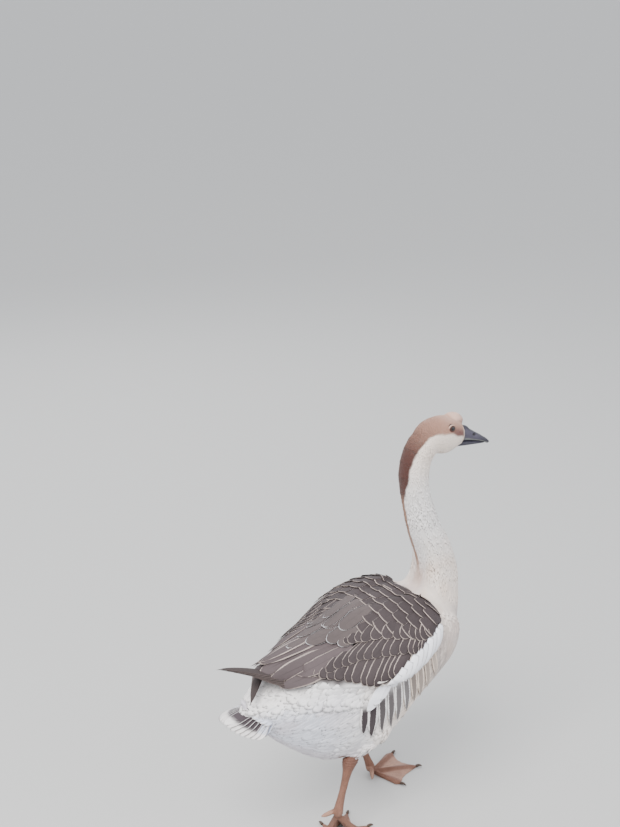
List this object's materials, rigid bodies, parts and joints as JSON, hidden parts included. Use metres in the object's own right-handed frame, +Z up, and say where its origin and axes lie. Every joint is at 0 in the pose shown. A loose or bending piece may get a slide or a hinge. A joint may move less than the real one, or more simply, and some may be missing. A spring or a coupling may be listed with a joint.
{
  "type": "chinese goose",
  "caption": "Life-size walking brown Chinese goose as a still model, standing on its webbed feet, with folded wings and raised neck.",
  "frame": {"origin": "on the floor under the middle of the whole length and width", "axes": "+X the way the bird walks, +Y to its left, +Z up"},
  "size_m": [0.546, 0.2766, 0.7056],
  "materials": {
    "plumage_white": "soft white and cream feathers",
    "plumage_brown": "short soft brown feathers",
    "plumage_grey": "grey-brown feathers with pale edges",
    "knob": "matte buff skin and down",
    "bill": "satin slate horn",
    "eye": "wet dark brown",
    "leg_skin": "dusty orange scaled skin",
    "claw": "dark horn"
  },
  "bodies": {
    "root": {"trunk": "plumage_white", "neck_lower": "plumage_white", "neck_upper": "plumage_white", "thigh_left": "plumage_white", "thigh_right": "plumage_white", "tail_fan": "plumage_white", "head": "plumage_brown", "wing_left": "plumage_grey", "wing_right": "plumage_grey", "wing_left_tertials": "plumage_grey", "wing_right_tertials": "plumage_grey", "wing_left_primaries": "plumage_grey", "wing_right_primaries": "plumage_grey", "forehead_knob": "knob", "bill_upper": "bill", "bill_lower": "bill", "eye_left": "eye", "eye_right": "eye", "tarsus_left": "leg_skin", "tarsus_right": "leg_skin", "foot_left": "leg_skin", "foot_right": "leg_skin", "hallux_left": "leg_skin", "hallux_right": "leg_skin", "claw_left_outer": "claw", "claw_left_middle": "claw", "claw_left_inner": "claw", "claw_right_outer": "claw", "claw_right_middle": "claw", "claw_right_inner": "claw"}
  },
  "joints": []
}
